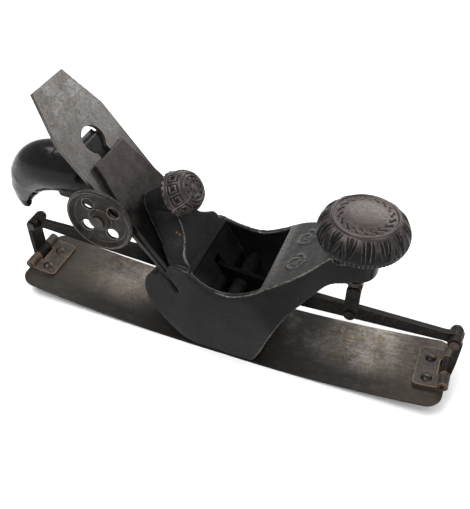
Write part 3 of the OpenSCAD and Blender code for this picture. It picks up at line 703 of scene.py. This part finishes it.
def clamp_knob():
    """The clamping knob, with a scalloped skirt, a fret band and rings."""
    base = centre_of("clamp_knob")
    matrix = frame_matrix(base, base - centre_of("clamp_screw"))
    corners = [matrix.inverted() @ v.co for v in NODES["clamp_knob"].data.vertices]
    bottom = min(c.z for c in corners) / MM
    top = max(c.z for c in corners) / MM
    r = max(math.hypot(c.x, c.y) for c in corners) / MM
    tall = top - bottom
    skirt = catmull([
        (r - 5.5, bottom), (r - 3, bottom + 0.2), (r - 0.9, bottom + 1), (r - 0.2, bottom + 2.2),
        (r - 0.8, bottom + 3.4)
    ], 5)
    band = catmull([
        (r - 0.8, bottom + 3.4), (r - 1, bottom + 4.2), (r - 1.5, bottom + 0.62 * tall),
        (r - 3.4, top - 1.7), (r - 4.6, top - 1.1), (r - 5, top - 1.3), (r - 5.6, top - 0.6)
    ], 14)
    face = catmull([
        (r - 5.6, top - 0.6), (r - 6.1, top - 0.3), (r - 6.6, top - 0.8), (r - 7.6, top - 0.4),
        (r - 8.6, top - 0.6), (r - 9.2, top - 0.9), (2, top - 0.8), (1.4, top - 0.1), (0, top)
    ], 4)
    profile = [(0, bottom + 1), (r - 6.5, bottom + 1)] + skirt + band[1:] + face[1:]
    petals, scallops, frets = 9, 22, 11
    frets_low, frets_high = bottom + 4.2, top - 1.5

    def lift(angle, index):
        radius, height = profile[index]
        if height > top - 1.2 and r - 8.6 < radius < r - 6.6:
            return (0, -0.45 * (math.cos(angle * petals) > 0.1))
        if height < bottom + 3 and radius > r - 3:
            return (0.5 * (abs(math.sin(angle * scallops / 2)) - 0.8), 0)
        if frets_low < height < frets_high:
            # Each fret is a square hook, given by its place around and up the band.
            u = (angle / TAU * frets) % 1
            v = (height - frets_low) / (frets_high - frets_low)
            raised = (
                v < 0.1 or v > 0.9 or u < 0.13
                or (0.22 < v < 0.36 and 0.26 < u < 0.88)
                or (0.75 < u < 0.88 and 0.22 < v < 0.8)
                or (0.66 < v < 0.8 and 0.26 < u < 0.88)
                or (0.26 < u < 0.39 and 0.48 < v < 0.8)
            )
            return (0, 0) if raised else (-0.5, -0.16)
        return (0, 0)

    bm = lathe(profile, matrix, CLAMP_STEPS, lift)
    piece = add_object("clamp_knob_cast", bm, CLAMP, "clamp", ("clamp_knob",))
    add_smooth(piece, 0.4, 1)
    bake_modifiers(piece)


def dress_nodes():
    """Gives the CAD nodes that stay their finishes and rounded edges."""
    finishes = {
        DARK: (
            "toe_shackle", "heel_shackle", "front_lever", "rear_lever", "link_strap",
            "knob_retaining_pin", "strap_upper_rivet", "strap_lower_rivet"
        ),
        RUST: ("toe_hinge_plate", "heel_hinge_plate"),
        PIN: (
            "toe_rivets", "heel_rivets", "toe_hinge_pin", "heel_hinge_pin", "toe_lever_pin",
            "heel_lever_pin", "knob_washer", "wheel_shaft", "wheel_screw", "shaft_nut",
            "adjusting_screw"
        ),
        SOLE: ("sole_centre",),
        IRON: ("cutting_iron",),
        CAP: ("lever_cap",),
        WHEEL: ("depth_wheel",),
        THROAT_SHADE_STEEL: ("lever_pivot_pins", "pivot_spacers", "sole_screws", "depth_rack"),
        BRIGHT: ("clamp_screw",),
    }
    widths = {"cutting_iron": 0.18, "lever_cap": 0.5, "depth_wheel": 0.3, "sole_centre": 0.15}
    for material, names in finishes.items():
        for name in names:
            node = NODES[name]
            node.data.materials.clear()
            node.data.materials.append(material)
            soften(node, widths.get(name, 0.25))


def build():
    """All the pieces of the plane."""
    casting()
    sole_half("toe_sole", "sole_spring_toe")
    sole_half("heel_sole", "sole_spring_heel")
    front_knob()
    clamp_knob()
    dress_nodes()


# -------------------------------------------------------------------- stage

def camera():
    """The camera, with its axes and place from a fit of the object's own sizes."""
    data = bpy.data.cameras.new("camera")
    data.sensor_fit = "HORIZONTAL"
    data.sensor_width = 36
    data.lens = 53.853
    data.clip_start = 0.01
    item = bpy.data.objects.new("camera", data)
    back = Vector((0.26088695, -0.68644462, 0.67877227))
    right = Vector((0.93195835, 0.36246881, 0.00836657))
    pose = Matrix((right, back.cross(right), back)).transposed().to_4x4()
    pose.translation = (0.1032837, -0.26042816, 0.31374439)
    item.matrix_world = pose
    bpy.context.scene.collection.objects.link(item)
    bpy.context.scene.camera = item


def area_light(name, place, size, power):
    """A lamp at place that shines on the middle of the plane."""
    data = bpy.data.lights.new(name, "AREA")
    data.shape = "RECTANGLE"
    data.size, data.size_y = size
    data.energy = power
    item = bpy.data.objects.new(name, data)
    item.location = place
    aim = Vector((0, 0, 0.05)) - Vector(place)
    item.rotation_euler = aim.to_track_quat("-Z", "Y").to_euler()
    bpy.context.scene.collection.objects.link(item)


def studio():
    """The pale floor, the lamps and the white sky."""
    floor = Finish("pale_floor")
    shade = floor.mix(floor.noise(0.004, 2), (0.86, 0.86, 0.86), (0.9, 0.9, 0.9))
    material = floor.done(shade, 0.8, 0.0)
    bm = bmesh.new()
    bmesh.ops.create_grid(bm, x_segments=8, y_segments=8, size=3)
    add_object("floor", bm, material, None)
    area_light("key", (-0.3, -0.2, 0.9), (0.7, 0.5), 9)
    area_light("fill", (0.8, -0.4, 0.45), (0.5, 0.4), 3)
    area_light("back", (0.1, 0.8, 0.6), (1.0, 0.3), 8)
    world = bpy.data.worlds.new("studio")
    bpy.context.scene.world = world
    world.use_nodes = True
    sky = world.node_tree.nodes["Background"]
    sky.inputs["Color"].default_value = (1, 1, 1, 1)
    sky.inputs["Strength"].default_value = 0.62
    bpy.context.scene.view_settings.view_transform = "Standard"


camera()
studio()
build()
